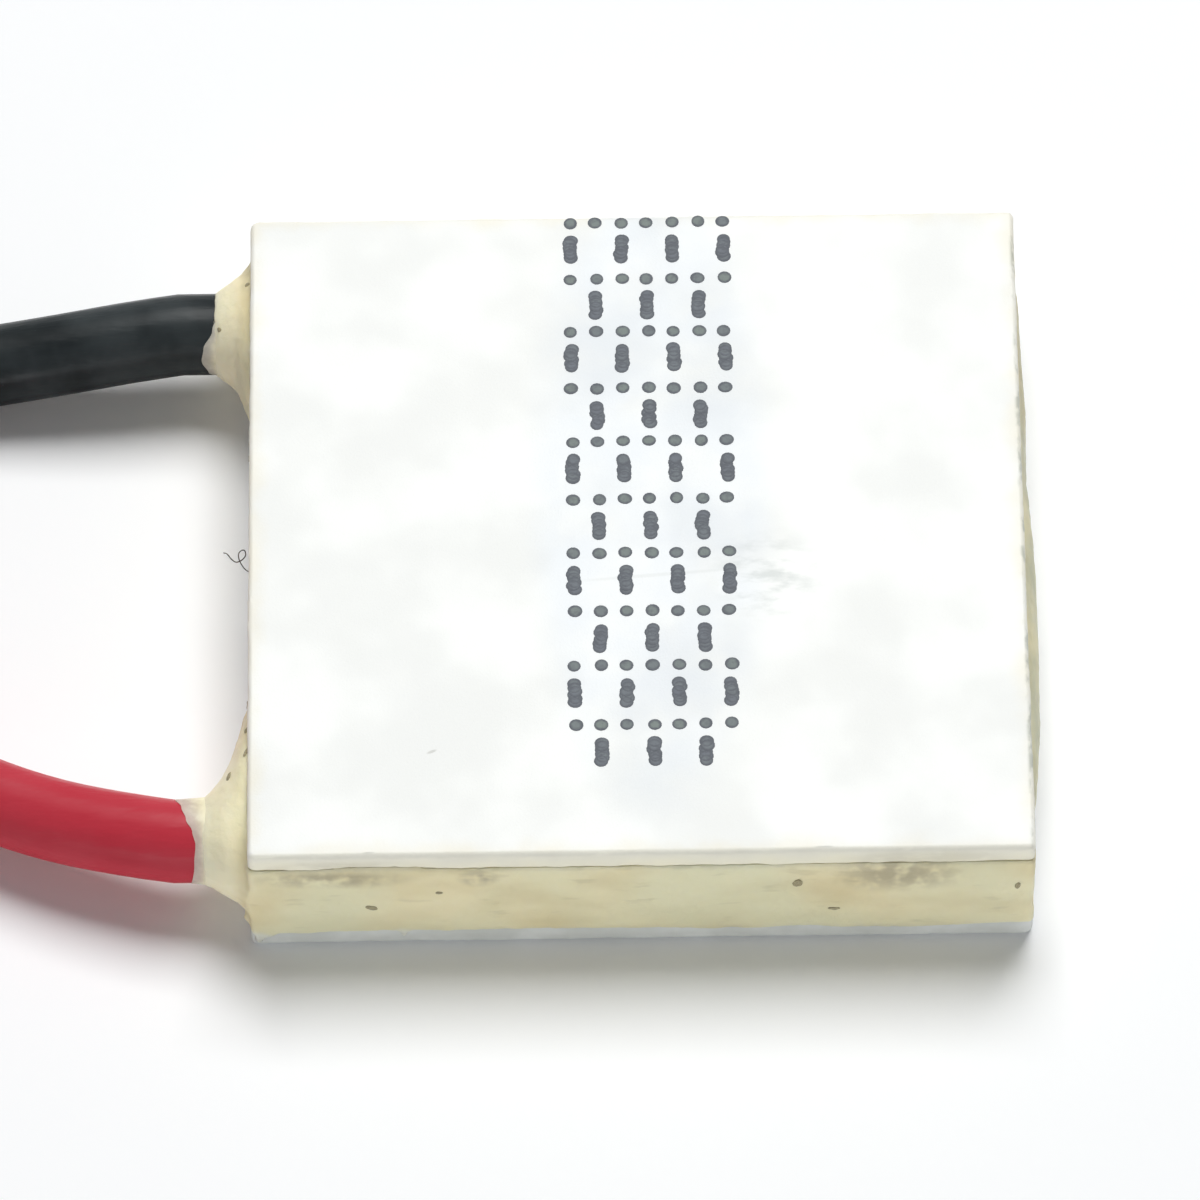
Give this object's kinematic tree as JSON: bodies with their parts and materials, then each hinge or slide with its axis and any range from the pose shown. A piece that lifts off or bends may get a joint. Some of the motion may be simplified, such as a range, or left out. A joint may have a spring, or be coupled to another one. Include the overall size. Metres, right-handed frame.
{
  "type": "thermoelectric cooling module",
  "caption": "Flat square thermoelectric cooling module with two white ceramic plates, a cream perimeter seal, and black and red leads from one side.",
  "frame": {"origin": "middle of the hot plate's outer face, on which the module rests", "axes": "+Z from the hot face to the cold face; both leads leave towards -X, the red one nearer -Y"},
  "size_m": [0.0497, 0.0248, 0.0032],
  "materials": {
    "alumina": "matte",
    "copper": "satin",
    "solder": "satin",
    "n_type": "satin",
    "p_type": "satin",
    "tinned_strands": "satin",
    "sealant": "satin",
    "black_insulation": "satin",
    "red_insulation": "satin",
    "print_ink": "matte"
  },
  "bodies": {
    "root": {"hot_plate": "alumina", "cold_plate": "alumina", "hot_tabs": "copper", "cold_tabs": "copper", "pad_black": "copper", "pad_red": "copper", "solder_hot": "solder", "solder_cold": "solder", "leg_01": "n_type", "leg_02": "p_type", "leg_03": "n_type", "leg_04": "p_type", "leg_05": "n_type", "leg_06": "p_type", "leg_07": "n_type", "leg_08": "p_type", "leg_09": "n_type", "leg_10": "p_type", "leg_11": "n_type", "leg_12": "p_type", "leg_13": "n_type", "leg_14": "p_type", "leg_15": "n_type", "leg_16": "p_type", "leg_17": "n_type", "leg_18": "p_type", "leg_19": "n_type", "leg_20": "p_type", "leg_21": "n_type", "leg_22": "p_type", "leg_23": "n_type", "leg_24": "p_type", "leg_25": "n_type", "leg_26": "p_type", "leg_27": "n_type", "leg_28": "p_type", "leg_29": "n_type", "leg_30": "p_type", "leg_31": "n_type", "leg_32": "p_type", "leg_33": "n_type", "leg_34": "p_type", "joint_black": "solder", "joint_red": "solder", "wire_black": "tinned_strands", "wire_red": "tinned_strands", "seal": "sealant", "lead_black": "black_insulation", "lead_red": "red_insulation", "coil_black": "black_insulation", "coil_red": "red_insulation", "end_black": "tinned_strands", "end_red": "tinned_strands"}
  },
  "joints": []
}
